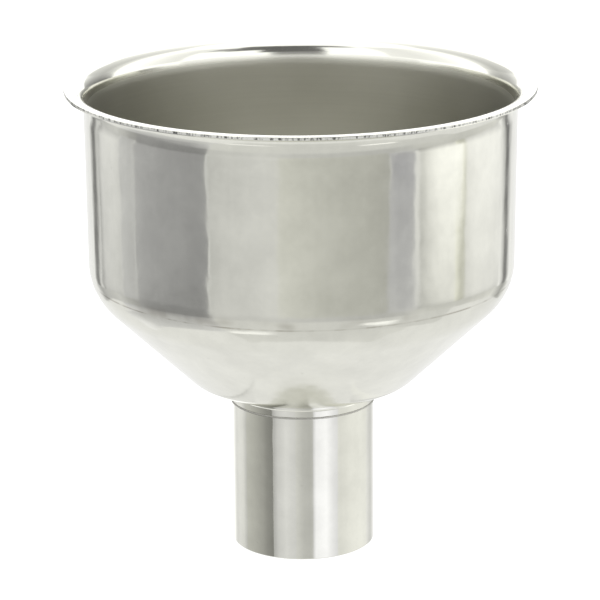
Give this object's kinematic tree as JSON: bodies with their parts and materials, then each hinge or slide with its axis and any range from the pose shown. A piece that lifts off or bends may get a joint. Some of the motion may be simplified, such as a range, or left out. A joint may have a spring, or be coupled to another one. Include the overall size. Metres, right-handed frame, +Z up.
{
  "type": "funnel",
  "caption": "Small straight-walled steel funnel: a round bowl with a turned-out lip and a conical base over a short straight spout, standing upright on the spout.",
  "frame": {"origin": "centre of the spout's lower end", "axes": "+Z up the funnel's axis, from the spout towards the mouth; round about Z, so X and Y are free"},
  "size_m": [0.0544, 0.0544, 0.0554],
  "materials": {
    "bowl_steel": "polished stainless steel outside with faint draw marks, satin inside",
    "spout_steel": "polished stainless steel tube with fine lengthwise lines",
    "weld_steel": "dull steel weld, lightly brushed"
  },
  "bodies": {
    "root": {"bowl": "bowl_steel", "spout": "spout_steel", "weld_seam": "weld_steel"}
  },
  "joints": []
}
